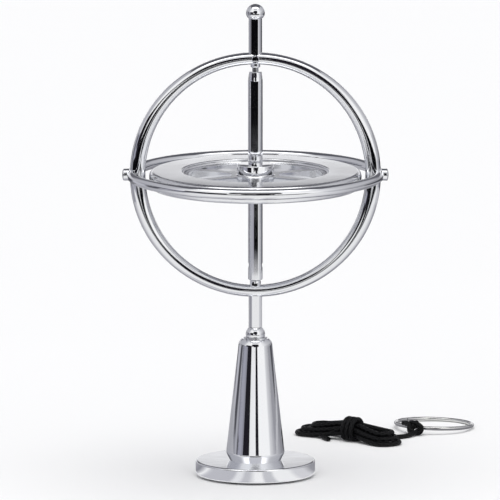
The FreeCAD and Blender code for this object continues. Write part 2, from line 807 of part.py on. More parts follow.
cut_from("string_knot", knot_blank, [knot_wire])

# Where the free lengths of cord lie, point by point, as (x, y, height of the cord's middle).
LEAD_ROUTE = [
    (41.3, 55.5, 1.1),
    (39.5, 52.5, 0.6),
    (36.7, 50.2, 0.6),
    (33.6, 50.1, 0.6),
    (31.0, 51.0, 0.6),
    (28.75, 50.7, 0.6),
]
TAIL_ROUTE = [
    (16.97, 51.2, 0.6),
    (17.72, 48.9, 0.6),
    (18.7, 46.9, 0.6),
]
BEND_SHARE = 0.45


def add_cord(label, route):
    """A round cord along straight runs joined by tangent arcs; prints the radius of each bend."""
    points = [FreeCAD.Vector(*point) for point in route]
    edges = []
    radii = []
    at = points[0]
    for before, corner, after in zip(points, points[1:], points[2:]):
        back = (before - corner)
        onward = (after - corner)
        setback = BEND_SHARE * min(back.Length, onward.Length)
        half_turn_angle = (math.pi - back.getAngle(onward)) / 2
        radius = setback / math.tan(half_turn_angle)
        back.normalize()
        onward.normalize()
        arc_start = corner + back * setback
        arc_end = corner + onward * setback
        inward = (back + onward).normalize()
        centre = corner + inward * math.hypot(radius, setback)
        arc_middle = centre - inward * radius
        edges.append(Part.LineSegment(at, arc_start).toShape())
        edges.append(Part.Arc(arc_start, arc_middle, arc_end).toShape())
        radii.append(round(radius, 2))
        at = arc_end
    edges.append(Part.LineSegment(at, points[-1]).toShape())
    path = Part.Wire(edges)
    heading = points[1] - points[0]
    section = Part.Wire(Part.makeCircle(cord_radius.value, points[0], heading))
    tube = path.makePipeShell([section], True, True)
    expected = math.pi * cord_radius.value ** 2 * path.Length
    if abs(tube.Volume - expected) > 0.01 * expected:
        raise RuntimeError(f"{label}: volume {tube.Volume} is not section times length {expected}")
    thing = doc.addObject("Part::Feature", label)
    thing.Shape = tube
    print(label, "length", round(path.Length, 1), "bend radii", radii)
    return keep(thing, label)


add_cord("string_lead", LEAD_ROUTE)
add_cord("string_tail", TAIL_ROUTE)

# Hank: the outer form of the folded cord, pinched at the middle by three wraps.
hank = new_body("string_hank")
middle_half = size("hank_middle_width") / 2
wrap_half_length = size("hank_wrap_length") / 2
left_round = size("hank_left_width") / 2
right_round = size("hank_right_width") / 2
left_tip = size("hank_left_length")
right_tip = size("hank_right_length")
hank_plan = new_sketch(hank, "hank_plan", "XY_Plane")
draw_outline(hank_plan, [
    (right_tip - right_round, -right_round),
    (right_tip, 0.0),
    (right_tip - right_round, right_round),
    (wrap_half_length, middle_half),
    (-wrap_half_length, middle_half),
    (left_round - left_tip, left_round),
    (-left_tip, 0.0),
    (left_round - left_tip, -left_round),
    (-wrap_half_length, -middle_half),
    (wrap_half_length, -middle_half),
], {0: (right_round, -1), 1: (right_round, -1), 5: (left_round, -1), 6: (left_round, -1)})
folds = hank.newObject("PartDesign::Pad", "folds")
folds.Profile = hank_plan
bind(folds, "Length", size("hank_height"))
wrap_half = size("hank_wrap_width") / 2
wrap_top = size("hank_wrap_height")
lower_corner = size("hank_wrap_lower_corner")
upper_corner = size("hank_wrap_upper_corner")
wrap_section = new_sketch(hank, "wrap_section", "YZ_Plane")
draw_outline(wrap_section, [
    (wrap_half - lower_corner, 0.0),
    (wrap_half, lower_corner),
    (wrap_half, wrap_top - upper_corner),
    (wrap_half - upper_corner, wrap_top),
    (upper_corner - wrap_half, wrap_top),
    (-wrap_half, wrap_top - upper_corner),
    (-wrap_half, lower_corner),
    (lower_corner - wrap_half, 0.0),
])
wraps = hank.newObject("PartDesign::Pad", "wraps")
wraps.Profile = wrap_section
wraps.Midplane = True
bind(wraps, "Length", size("hank_wrap_length"))
place(hank, HANK_CENTRE[0], HANK_CENTRE[1], 0.0, FreeCAD.Rotation(vertical, HANK_DIRECTION))

# ---------------------------------------------------------------- check and write

doc.recompute()
for thing in doc.Objects:
    if "Invalid" in thing.State or "Error" in thing.State:
        raise RuntimeError(f"{thing.Name} failed: {thing.State}")
os.makedirs("parts", exist_ok=True)
for thing in sub_parts:
    shape = thing.Shape
    if shape.isNull() or not shape.isValid():
        raise RuntimeError(f"{thing.Label} has no valid shape")
    shape.exportStep(f"parts/{thing.Label}.step")
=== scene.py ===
"""Toy gyroscope of chromed zinc, balanced on its cone-shaped stand, with its pull string beside it.

Everything is in metres in the frame of the solids: the origin is under the middle of the base,
+Z is up, and the vertical ring lies in the XZ plane.  Sizes are written in millimetres.
"""

import math

import bmesh
import bpy
from mathutils import Matrix, Vector


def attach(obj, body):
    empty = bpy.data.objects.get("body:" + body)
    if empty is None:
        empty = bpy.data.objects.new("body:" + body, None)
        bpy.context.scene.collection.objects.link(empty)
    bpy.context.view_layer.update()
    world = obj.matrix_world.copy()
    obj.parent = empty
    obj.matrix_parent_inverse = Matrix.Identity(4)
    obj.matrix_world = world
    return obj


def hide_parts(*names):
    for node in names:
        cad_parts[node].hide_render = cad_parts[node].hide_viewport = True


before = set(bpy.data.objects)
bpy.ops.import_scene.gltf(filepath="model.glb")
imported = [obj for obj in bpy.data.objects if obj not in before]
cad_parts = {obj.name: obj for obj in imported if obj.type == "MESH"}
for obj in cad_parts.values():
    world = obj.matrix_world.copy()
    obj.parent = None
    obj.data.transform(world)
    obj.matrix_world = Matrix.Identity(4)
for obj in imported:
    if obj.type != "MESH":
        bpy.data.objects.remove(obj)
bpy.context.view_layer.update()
MM = 0.001


# ---------------------------------------------------------------- camera
# A long lens stands back from the table and looks down by less than ten degrees, so the rings stay
# almost true circles and the rotor is seen as a thin ellipse.
camera_distance = 3500 * MM
camera_elevation = math.radians(9.5)
view_width = 125.4 * MM
aim = Vector((-1.35, 0.0, 57.35)) * MM
toward_camera = Vector((0.0, -math.cos(camera_elevation), math.sin(camera_elevation)))
lens = bpy.data.cameras.new("long_lens")
lens.sensor_width = 36.0
lens.lens = lens.sensor_width * camera_distance / view_width
lens.clip_end = 30.0
camera = bpy.data.objects.new("camera", lens)
camera.location = aim + toward_camera * camera_distance
camera.rotation_mode = "QUATERNION"
camera.rotation_quaternion = (-toward_camera).to_track_quat("-Z", "Y")
bpy.context.collection.objects.link(camera)
bpy.context.scene.camera = camera


# ---------------------------------------------------------------- table top
# Matt white paper, wide enough that its edge is never seen.  Its faint tooth is too fine for the
# picture, so it is left to the roughness.
def linear(code):
    """Linear RGBA of an sRGB hex colour."""
    channels = [int(code[i:i + 2], 16) / 255 for i in (1, 3, 5)]
    return tuple(c / 12.92 if c <= 0.04045 else ((c + 0.055) / 1.055) ** 2.4 for c in channels) + (1.0,)


def add_node(tree, kind, links=None, **settings):
    """Adds a shader node with its settings, and its sockets as values or links."""
    node = tree.nodes.new(kind)
    for name, value in settings.items():
        setattr(node, name, value)
    for name, value in (links or {}).items():
        socket = node.inputs[name]
        if isinstance(value, bpy.types.NodeSocket):
            tree.links.new(value, socket)
        else:
            socket.default_value = value
    return node


def new_material(name):
    """A material with an empty node tree, and the tree."""
    material = bpy.data.materials.new(name)
    material.use_nodes = True
    material.node_tree.nodes.clear()
    return material, material.node_tree


def finish_material(tree, shader):
    """Joins a shader to the material's output."""
    add_node(tree, "ShaderNodeOutputMaterial", {"Surface": shader.outputs[0]})


def finish_mesh(name, shape, material, smooth=True):
    """Makes an object at the origin from a bmesh whose place is already in it."""
    mesh = bpy.data.meshes.new(name)
    bmesh.ops.recalc_face_normals(shape, faces=shape.faces)
    shape.to_mesh(mesh)
    shape.free()
    mesh.materials.append(material)
    for face in mesh.polygons:
        face.use_smooth = smooth
    piece = bpy.data.objects.new(name, mesh)
    bpy.context.collection.objects.link(piece)
    return piece


paper_white, tree = new_material("matt_white_paper")
finish_material(tree, add_node(tree, "ShaderNodeBsdfPrincipled", {
    "Base Color": linear("#f3f3f3"), "Roughness": 0.95, "Specular IOR Level": 0.1}))
shape = bmesh.new()
bmesh.ops.create_circle(shape, cap_ends=True, segments=96, radius=2500 * MM)
finish_mesh("table_paper", shape, paper_white, smooth=False)


# ---------------------------------------------------------------- studio
# A pale room with a bright panel overhead gives soft light.  Its walls differ in brightness, as a real
# room's do, because polished chrome shows nothing but its surroundings.
def ramp(tree, position, stops):
    """A colour ramp over a position, from (place, colour) stops."""
    node = add_node(tree, "ShaderNodeValToRGB", {"Fac": position})
    while len(node.color_ramp.elements) < len(stops):
        node.color_ramp.elements.new(0.5)
    for element, (at, colour) in zip(node.color_ramp.elements, stops):
        element.position = at
        element.color = linear(colour)
    return node


def compass(tree, coordinates, bearings):
    """A ramp round the upright axis; bearings are (degrees, colour), with 0 in front of the stand."""
    turned_round = add_node(tree, "ShaderNodeMapping", {
        "Vector": coordinates, "Rotation": (0.0, 0.0, math.pi / 2)})
    round_axis = add_node(tree, "ShaderNodeTexGradient", {"Vector": turned_round.outputs[0]},
                          gradient_type="RADIAL")
    stops = [(0.5 + bearing / 360, colour) for bearing, colour in bearings]
    return ramp(tree, round_axis.outputs["Fac"], stops)


room = bpy.data.worlds.new("white_room")
bpy.context.scene.world = room
room.use_nodes = True
tree = room.node_tree
tree.nodes.clear()
direction = add_node(tree, "ShaderNodeTexCoord").outputs["Generated"]
walls = compass(tree, direction, [
    (-180, "#f8f8fa"), (-160, "#e8e8ec"), (-150, "#c8c8cd"), (-115, "#9c9ca2"), (-97, "#57575d"),
    (-90, "#6c6c75"), (-75, "#a3a3b0"), (-60, "#a0a0ac"), (-53, "#84848e"), (-22, "#f4f4f4"),
    (17, "#ffffff"), (58, "#ffffff"), (64, "#dcdcdf"), (78, "#c4c4c8"), (95, "#b2b2b6"),
    (112, "#a0a0a4"), (130, "#98989d"), (150, "#a8a8ac"), (162, "#e8e8ec"), (180, "#f8f8fa")])
upper_walls = compass(tree, direction, [
    (-180, "#66666c"), (-155, "#66666c"), (-140, "#b4b4ba"), (-90, "#bcbcc2"), (-75, "#d8d8dc"),
    (-68, "#f4f4f4"), (-40, "#ffffff"), (45, "#ffffff"), (66, "#e8e8ea"), (92, "#c8c8cc"),
    (140, "#b4b4ba"), (155, "#66666c"), (180, "#66666c")])
height = add_node(tree, "ShaderNodeSeparateXYZ", {0: direction}).outputs["Z"]
to_upper_walls = add_node(tree, "ShaderNodeMapRange", {"Value": height, "From Min": 0.18, "From Max": 0.21})
all_walls = add_node(tree, "ShaderNodeMix", {
    0: to_upper_walls.outputs[0], 6: walls.outputs[0], 7: upper_walls.outputs[0]}, data_type="RGBA")
wall_light = add_node(tree, "ShaderNodeBackground", {"Color": all_walls.outputs[2], "Strength": 1.0})
ceiling_light = add_node(tree, "ShaderNodeBackground", {"Color": linear("#ffffff"), "Strength": 2.4})
to_ceiling = add_node(tree, "ShaderNodeMapRange", {"Value": height, "From Min": 0.8, "From Max": 0.9})
room_light = add_node(tree, "ShaderNodeMixShader", {
    0: to_ceiling.outputs[0], 1: wall_light.outputs[0], 2: ceiling_light.outputs[0]})
add_node(tree, "ShaderNodeOutputWorld", {"Surface": room_light.outputs[0]})
bpy.context.scene.view_settings.view_transform = "Standard"


# ---------------------------------------------------------------- painted reflection rings and cards round the paper
# The rings laid on the paper glow in painted reflections, toned by bearing, of the paper round the stand
# and of the table beyond it. They, the black cards in front, and a grey and a pale one overhead are there
# only for the chrome to reflect: the lens doesn't see them, and they cast no shadow.
def for_mirrors_only(card):
    """Leaves a stage piece in reflections alone."""
    card.visible_camera = False
    card.visible_diffuse = False
    card.visible_transmission = False
    card.visible_shadow = False


far_left = [
    (-180, "#4c4c52"), (-144, "#4c4c52"), (-138, "#bebec6"), (-116, "#bebec6"), (-110, "#4c4c52"),
    (-97, "#4c4c52"), (-91, "#b0b0b8")]
far_right = [
    (51, "#dedee0"), (60, "#dedee0"), (68, "#c2c2c7"), (84, "#b0b0b6"), (90, "#9c9ca2"),
    (110, "#9c9ca2"), (118, "#505056"), (146, "#505056"), (180, "#4c4c52")]


def toned_in_front(tone):
    """Painted reflection tones by bearing of a ring that has one tone in front of the stand."""
    return far_left + [(-28, "#a4a4ae"), (-22, tone), (41, tone), (47, "#f2f2f2")] + far_right


painted_reflection_rings = (
    # name, inner and outer radius in mm, tones by bearing
    ("reflection_ring_at_base", 16, 60, [
        (-180, "#a4a4aa"), (-120, "#a4a4aa"), (-98, "#8d8d94"), (-88, "#c8c8cc"), (-80, "#fafafa"),
        (-72, "#cfcfd4"), (-66, "#c4c4ca"), (-30, "#c2c2c8"), (-25, "#ececee"), (-19, "#ececee"),
        (-14, "#c8c8cd"), (-8, "#cacacf"), (0, "#f8f8f8"), (8, "#fafafa"), (12, "#cacacf"),
        (22, "#cccdd1"), (27, "#f8f8f8"), (50, "#f8f8f8"), (60, "#d8d8dc"), (80, "#d8d8dc"),
        (98, "#9c9ca2"), (120, "#94949a"), (180, "#94949a")]),
    ("reflection_ring_under", 60, 205, [
        (-180, "#b4b4ba"), (-125, "#aaaab0"), (-100, "#b4b4ba"), (-60, "#e6e6e8"), (-40, "#f2f2f2"),
        (40, "#f2f2f2"), (60, "#e6e6e8"), (100, "#b4b4ba"), (125, "#8e8e94"), (180, "#8e8e94")]),
    ("reflection_ring_near", 205, 305, [
        (-180, "#7c7c82"), (-137, "#7c7c82"), (-132, "#b8b8be"), (-112, "#b8b8be"), (-106, "#8c8c92"),
        (-64, "#a8a8b0"), (-58, "#f2f2f2"), (60, "#f2f2f2"), (72, "#d8d8dc"), (90, "#c8c8cc"),
        (118, "#c8c8cc"), (138, "#b4b4ba"), (180, "#7c7c82")]),
    ("reflection_ring_dusk", 305, 321, toned_in_front("#a6a6aa")),
    ("reflection_ring_dark", 321, 338, toned_in_front("#4c4c50")),
    ("reflection_ring_middle", 338, 430, toned_in_front("#040405")),
    ("reflection_ring_gap", 430, 478, far_left + [(-64, "#9a9aa4"), (-58, "#e4e4e6")] + far_right),
    ("reflection_ring_fade", 478, 502, far_left + [(-64, "#8a8a92"), (-58, "#86868c"), (30, "#86868c")] + far_right),
    ("reflection_ring_far", 502, 2400, far_left + [(-84, "#a4a4ac"), (-77, "#08080a"), (44, "#08080a")] + far_right),
)
reflection_ring_level = 0.6
# Each ring glows in its painted reflection tones, and only the chrome sees them.
for name, inner, outer, tones in painted_reflection_rings:
    painted_reflection_tone, tree = new_material(name)
    place = add_node(tree, "ShaderNodeTexCoord").outputs["Object"]
    tones_round = compass(tree, place, tones)
    finish_material(tree, add_node(tree, "ShaderNodeEmission", {"Color": tones_round.outputs[0]}))
    shape = bmesh.new()
    for radius in (inner, outer):
        bmesh.ops.create_circle(shape, segments=96, radius=radius * MM,
                                matrix=Matrix.Translation((0, 0, reflection_ring_level * MM)))
    bmesh.ops.bridge_loops(shape, edges=shape.edges[:])
    for_mirrors_only(finish_mesh(name, shape, painted_reflection_tone, smooth=False))

card_black, tree = new_material("black_card")
finish_material(tree, add_node(tree, "ShaderNodeEmission", {"Color": linear("#201e24")}))
card_distance = 1000
for name, left, right, low, high in (
        # name, left and right edge by bearing, lower and upper edge in mm
        ("left_card", -51, -25, 0, 420), ("left_card_side", -66, -51, 130, 420),
        ("middle_card", -12, 17, 100, 800), ("middle_card_foot", 1, 13, 0, 100),
        ("upper_card", -24, 24, 240, 800)):
    shape = bmesh.new()
    corners = []
    for bearing, level in ((left, low), (right, low), (right, high), (left, high)):
        angle = math.radians(bearing)
        corners.append(shape.verts.new(Vector((
            card_distance * math.sin(angle), -card_distance * math.cos(angle), level)) * MM))
    bmesh.ops.contextual_create(shape, geom=corners)
    for_mirrors_only(finish_mesh(name, shape, card_black, smooth=False))

for name, paint, tone, half_width, near, far, level in (
        # name, material and its tone, then half width, near and far edge and height in mm
        ("overhead_card", "grey_card", "#5e5e64", 900, 0, 2200, 1300),
        ("front_overhead_card", "pale_card", "#d0d0d5", 450, -1000, -380, 1200)):
    card_tone, tree = new_material(paint)
    finish_material(tree, add_node(tree, "ShaderNodeEmission", {"Color": linear(tone)}))
    shape = bmesh.new()
    bmesh.ops.contextual_create(shape, geom=[shape.verts.new(Vector((x, y, level)) * MM) for x, y in (
        (-half_width, near), (half_width, near), (half_width, far), (-half_width, far))])
    for_mirrors_only(finish_mesh(name, shape, card_tone, smooth=False))


# ---------------------------------------------------------------- foam pad
# Round pad of black closed-cell foam, stuck under the base.  Its edge is cut with a punch, so its
# open cells show as a fine matt grain, with painted shade darkening the pit of each cell.
def outline_edges(shape, radius, height):
    """The ring edges at a radius and a height in millimetres."""
    def on_ring(vert):
        return (abs(math.hypot(vert.co.x, vert.co.y) - radius * MM) < 1e-6
                and abs(vert.co.z - height * MM) < 1e-6)
    return [edge for edge in shape.edges if all(on_ring(vert) for vert in edge.verts)]


def turned(outline, rounded=None, steps=128):
    """Spins an outline of (radius, height) in millimetres about Z.

    rounded maps a point of the outline to the radius of the edge there.
    """
    shape = bmesh.new()
    verts = [shape.verts.new((radius * MM, 0.0, height * MM)) for radius, height in outline]
    for first, second in zip(verts, verts[1:]):
        shape.edges.new((first, second))
    if outline[0][0] > 0 and outline[-1][0] > 0:
        shape.edges.new((verts[-1], verts[0]))
    bmesh.ops.spin(shape, geom=shape.verts[:] + shape.edges[:], cent=(0, 0, 0), axis=(0, 0, 1),
                   angle=2 * math.pi, steps=steps, use_merge=True)
    bmesh.ops.remove_doubles(shape, verts=shape.verts, dist=1e-7)
    for (radius, height), size in (rounded or {}).items():
        bmesh.ops.bevel(shape, geom=outline_edges(shape, radius, height), offset=size * MM,
                        offset_type="OFFSET", segments=4, profile=0.5, affect="EDGES", material=-1)
    return shape


def keep_flats_flat(piece):
    """Smooth shading that follows the large faces, with true corners left sharp."""
    piece.data.set_sharp_from_angle(angle=math.radians(32))
    piece.modifiers.new("flat_faces_lead", "WEIGHTED_NORMAL").keep_sharp = True


foam, tree = new_material("black_closed_cell_foam")
place = add_node(tree, "ShaderNodeTexCoord").outputs["Object"]
foam_cell = 0.35 * MM
cells = add_node(tree, "ShaderNodeTexVoronoi", {"Vector": place, "Scale": 1 / foam_cell})
# Darker at the middle of each cell, where the bump sinks a pit: painted shade.
cell_pit_shade = add_node(tree, "ShaderNodeValToRGB", {"Fac": cells.outputs["Distance"]})
cell_pit_shade.color_ramp.elements[0].color = linear("#0c0c0d")
cell_pit_shade.color_ramp.elements[1].color = linear("#1d1d1f")
pits = add_node(tree, "ShaderNodeBump", {
    "Height": cells.outputs["Distance"], "Strength": 0.6, "Distance": 0.08 * MM})
finish_material(tree, add_node(tree, "ShaderNodeBsdfPrincipled", {
    "Base Color": cell_pit_shade.outputs["Color"], "Roughness": 0.85, "Specular IOR Level": 0.3,
    "Normal": pits.outputs["Normal"]}))
base_pad = finish_mesh("foam_pad", turned(
    [(0, 0), (13.25, 0), (13.25, 0.5), (0, 0.5)], {(13.25, 0): 0.12}), foam)
keep_flats_flat(base_pad)
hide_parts("base_pad")
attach(base_pad, "stand")


# ---------------------------------------------------------------- base disc
# Zinc disc, die cast, turned, polished and bright chrome plated.  Plating keeps the slow ripple
# that the buffing wheel leaves, so the reflections in it waver a little.  The base is polished a
# little less finely than the rest.
chrome, tree = new_material("buffed_chrome_on_cast_zinc")
place = add_node(tree, "ShaderNodeTexCoord").outputs["Object"]
ripple_length = 6.0 * MM
haze_length = 9.0 * MM
ripple = add_node(tree, "ShaderNodeTexNoise", {
    "Vector": place, "Scale": 1 / ripple_length, "Detail": 1.0, "Roughness": 0.4})
ripple_bump = add_node(tree, "ShaderNodeBump", {
    "Height": ripple.outputs["Fac"], "Strength": 1.0, "Distance": 0.017 * MM})
haze = add_node(tree, "ShaderNodeTexNoise", {
    "Vector": place, "Scale": 1 / haze_length, "Detail": 5.0, "Roughness": 0.6})
haze_range = add_node(tree, "ShaderNodeMapRange", {
    "Value": haze.outputs["Fac"], "From Min": 0.35, "From Max": 0.75, "To Min": 0.035, "To Max": 0.09})
tone = add_node(tree, "ShaderNodeValToRGB", {"Fac": haze.outputs["Fac"]})
tone.color_ramp.elements[0].color = linear("#eceef2")
tone.color_ramp.elements[1].color = linear("#f6f6f7")
finish_material(tree, add_node(tree, "ShaderNodeBsdfPrincipled", {
    "Base Color": tone.outputs["Color"], "Metallic": 1.0, "Roughness": haze_range.outputs[0],
    "Normal": ripple_bump.outputs["Normal"]}))


def softer_chrome(name, low, high):
    """The same chrome over a rougher face, with a roughness between low and high."""
    finish = chrome.copy()
    finish.name = name
    for node in finish.node_tree.nodes:
        if node.type == "MAP_RANGE":
            node.inputs["To Min"].default_value = low
            node.inputs["To Max"].default_value = high
    return finish


base_chrome = softer_chrome("chrome_on_turned_base", 0.08, 0.13)
base_disc = finish_mesh("round_base", turned(
    [(3.0, 0.5), (15.0, 0.5), (15.0, 4.0), (1.7, 4.0), (1.7, 2.7), (3.0, 2.7)],
    {(15.0, 4.0): 0.5, (15.0, 0.5): 0.25}, steps=160), base_chrome)
keep_flats_flat(base_disc)
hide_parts("base_disc")
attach(base_disc, "stand")


# ---------------------------------------------------------------- tower
# Cone of the same plated zinc.  Its foot is undercut, its shoulder is rounded, and a screw from
# below holds it on the base.
def arc_points(centre, radius, start, end, count):
    """Points along an arc, from one angle in degrees to another; centre is (radius, height)."""
    angles = [math.radians(start + (end - start) * step / count) for step in range(count + 1)]
    return [(centre[0] + radius * math.cos(a), centre[1] + radius * math.sin(a)) for a in angles]


tower = finish_mesh("cone_tower", turned(
    [(1.5, 4.0), (6.4, 4.0), (7.35, 5.9)]
    + arc_points((2.003, 33.05), 2.26, 6.3, 55.0, 8)
    + [(2.6, 34.9), (2.6, 31.3), (0, 31.3), (0, 12.0), (1.5, 12.0)],
    {(7.35, 5.9): 0.3}, steps=160), chrome)
keep_flats_flat(tower)
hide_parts("tower")
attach(tower, "stand")


# ---------------------------------------------------------------- steel screw
# Socket screw under the base.  It is out of sight, so its solid stays, with a zinc-plated look.
steel, tree = new_material("zinc_plated_steel")
place = add_node(tree, "ShaderNodeTexCoord").outputs["Object"]
spangle = add_node(tree, "ShaderNodeTexNoise", {"Vector": place, "Scale": 1 / (0.6 * MM), "Detail": 3.0})
spangle_tone = add_node(tree, "ShaderNodeValToRGB", {"Fac": spangle.outputs["Fac"]})
spangle_tone.color_ramp.elements[0].color = linear("#a9adb3")
spangle_tone.color_ramp.elements[1].color = linear("#cfd2d6")
finish_material(tree, add_node(tree, "ShaderNodeBsdfPrincipled", {
    "Base Color": spangle_tone.outputs["Color"], "Metallic": 1.0, "Roughness": 0.32}))


def dress(node, material):
    """Gives a solid that stays in view its material."""
    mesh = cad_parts[node].data
    if not mesh.materials:
        mesh.materials.append(material)
    for slot in range(len(mesh.materials)):
        mesh.materials[slot] = material


dress("tower_screw", steel)


# ---------------------------------------------------------------- cup and ball
# Turned cup with a thin flange, pressed into the tower, and the ball that swivels in it.
ball_height = 35.9
cup_seat = arc_points((0.0, ball_height), 2.525, -14.9, -90.0, 14)
cup = finish_mesh("ball_cup", turned(
    [(0, 31.3), (2.6, 31.3), (2.6, 34.9), (2.95, 34.9), (2.95, 35.25)] + cup_seat[:-1] + [(0, 33.375)],
    {(2.95, 35.25): 0.1}, steps=96), chrome)
keep_flats_flat(cup)
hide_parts("pivot_cup")
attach(cup, "stand")

shape = bmesh.new()
bmesh.ops.create_uvsphere(shape, u_segments=72, v_segments=36, radius=4.85 / 2 * MM,
                          matrix=Matrix.Translation((0, 0, ball_height * MM)))
ball = finish_mesh("swivel_ball", shape, chrome)
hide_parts("lower_ball")
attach(ball, "pivot")


# ---------------------------------------------------------------- lower stem
# Short rod between the ball and the ring, hollowed at its end to clear the ball.
ring_height = 76.5
stem_seat = 30.6       # middle of the rings to the shoulder of a stem
bearing_seat = 28.8    # middle of the rings to the end of a stem's spigot, where a bearing begins
stem_radius = 1.68
spigot_radius = 0.95
hollow = arc_points((0.0, ball_height), 2.545, 90.0, 48.7, 10)
lower_stem = finish_mesh("stem_rod", turned(
    [(0, 38.445)] + hollow[1:]
    + [(stem_radius, ring_height - stem_seat), (spigot_radius, ring_height - stem_seat),
       (spigot_radius, ring_height - bearing_seat), (0, ring_height - bearing_seat)], steps=96), chrome)
keep_flats_flat(lower_stem)
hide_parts("lower_stem")
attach(lower_stem, "frame")


# ---------------------------------------------------------------- vertical ring
# Rod bent to a circle, welded shut, buffed and plated.  The bending and the buffing leave it
# thinner at its top and bottom than at its sides.
def ring(radius, wire, upright_ring, thinning=0.0, fullness=2.0):
    """A rod bent to a circle about the rings' middle, in millimetres; thinned at two far places.

    A fullness of 2 gives a round section, and more gives one with flatter sides.
    """
    shape = bmesh.new()
    section_place = Matrix.Translation((radius * MM, 0, 0)) @ Matrix.Rotation(math.pi / 2, 4, "X")
    bmesh.ops.create_circle(shape, segments=40, radius=wire / 2 * MM, matrix=section_place)
    bmesh.ops.spin(shape, geom=shape.verts[:] + shape.edges[:], cent=(0, 0, 0), axis=(0, 0, 1),
                   angle=2 * math.pi, steps=192, use_merge=True)
    bmesh.ops.remove_doubles(shape, verts=shape.verts, dist=1e-7)
    for vert in shape.verts:
        reach = math.hypot(vert.co.x, vert.co.y)
        outward, level = reach - radius * MM, vert.co.z
        span = math.hypot(outward, level)
        swell = (abs(outward / span) ** fullness + abs(level / span) ** fullness) ** (-1 / fullness)
        squeeze = 1 - thinning / wire * (vert.co.y / reach) ** 2
        squeezed = radius * MM + outward * swell * squeeze
        vert.co.z *= swell
        vert.co.x *= squeezed / reach
        vert.co.y *= squeezed / reach
    if upright_ring:
        bmesh.ops.rotate(shape, verts=shape.verts, matrix=Matrix.Rotation(math.pi / 2, 3, "X"))
    bmesh.ops.translate(shape, verts=shape.verts, vec=(0, 0, ring_height * MM))
    return shape


vertical_ring = finish_mesh("upright_ring", ring(29.5, 3.9, True, thinning=0.9, fullness=2.35), chrome)
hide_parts("vertical_ring")
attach(vertical_ring, "frame")


# ---------------------------------------------------------------- horizontal ring and rivets
# Thinner rod, bent to a slightly larger circle and let into notches in the upright ring.  A rivet
# with a nearly flat head goes through both at each side.
horizontal_ring = finish_mesh("level_ring", ring(31.0, 2.6, False), chrome)
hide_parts("horizontal_ring")
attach(horizontal_ring, "frame")

rivet_dome = arc_points((0.0, 1.75 - 4.625), 4.625, 71.1, 90.0, 8)
for name, side in (("left_ring_rivet", -1), ("right_ring_rivet", 1)):
    shape = turned([(0, -3.2), (0.8, -3.2), (0.8, 0), (1.5, 0), (1.5, 1.5)] + rivet_dome[1:-1] + [(0, 1.75)],
                   {(1.5, 1.5): 0.2}, steps=64)
    bmesh.ops.rotate(shape, verts=shape.verts, matrix=Matrix.Rotation(side * math.pi / 2, 3, "Y"))
    bmesh.ops.translate(shape, verts=shape.verts, vec=(side * 31.6 * MM, 0, ring_height * MM))
    rivet = finish_mesh(name + "_turned", shape, chrome)
    keep_flats_flat(rivet)
    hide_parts(name)
    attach(rivet, "frame")


# ---------------------------------------------------------------- upper stem and its cross pin
# Rod and ball turned in one, the ball a little flatter below, so that the string can be hooked over
# it.  A small cross pin with peened heads holds it in the ring.
stem_top = ring_height + stem_seat + 10.3
ball_end_radius = 2.35
under_ball = [(radius, stem_top + 0.79 * (height - stem_top))
              for radius, height in arc_points((0.0, stem_top), ball_end_radius, -44.4, 0.0, 8)]
ball_end = under_ball[:-1] + arc_points((0.0, stem_top), ball_end_radius, 0.0, 90.0, 14)
upper_stem = finish_mesh("ball_ended_stem", turned(
    [(0, ring_height + bearing_seat), (spigot_radius, ring_height + bearing_seat),
     (spigot_radius, ring_height + stem_seat), (stem_radius, ring_height + stem_seat)]
    + ball_end[:-1] + [(0, stem_top + ball_end_radius)], steps=96), chrome)
keep_flats_flat(upper_stem)
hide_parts("upper_stem")
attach(upper_stem, "frame")

shape = turned([(0, -2.15), (0.8, -2.1), (1.05, -1.8), (1.05, -1.65), (0.5, -1.65), (0.5, 1.65), (1.05, 1.65),
                (1.05, 1.8), (0.8, 2.1), (0, 2.15)], steps=48)
bmesh.ops.rotate(shape, verts=shape.verts, matrix=Matrix.Rotation(math.pi / 2, 3, "X"))
bmesh.ops.translate(shape, verts=shape.verts, vec=(0, 0, (ring_height + 29.5) * MM))
cross_pin = finish_mesh("peened_cross_pin", shape, chrome)
keep_flats_flat(cross_pin)
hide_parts("stem_cross_pin")
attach(cross_pin, "frame")


# ---------------------------------------------------------------- bearings and pivots
# Bushes pressed into the ring, each with a blind socket, and the hardened pins that turn in them.
socket_radius = 0.825
socket_depth = 1.3
for name, radius, reach, side in (("upper_bearing", 1.2, 1.6, 1), ("lower_bearing", 1.35, 2.0, -1)):
    shape = turned([(0, 0), (radius, 0), (radius, reach), (socket_radius, reach),
                    (socket_radius, reach - socket_depth), (0, reach - socket_depth)],
                   {(radius, reach): 0.25}, steps=64)
    if side > 0:
        bmesh.ops.rotate(shape, verts=shape.verts, matrix=Matrix.Rotation(math.pi, 3, "X"))
    bmesh.ops.translate(shape, verts=shape.verts, vec=(0, 0, (ring_height + side * bearing_seat) * MM))
    bearing = finish_mesh(name + "_bush", shape, chrome)
    keep_flats_flat(bearing)
    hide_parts(name)
    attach(bearing, "frame")

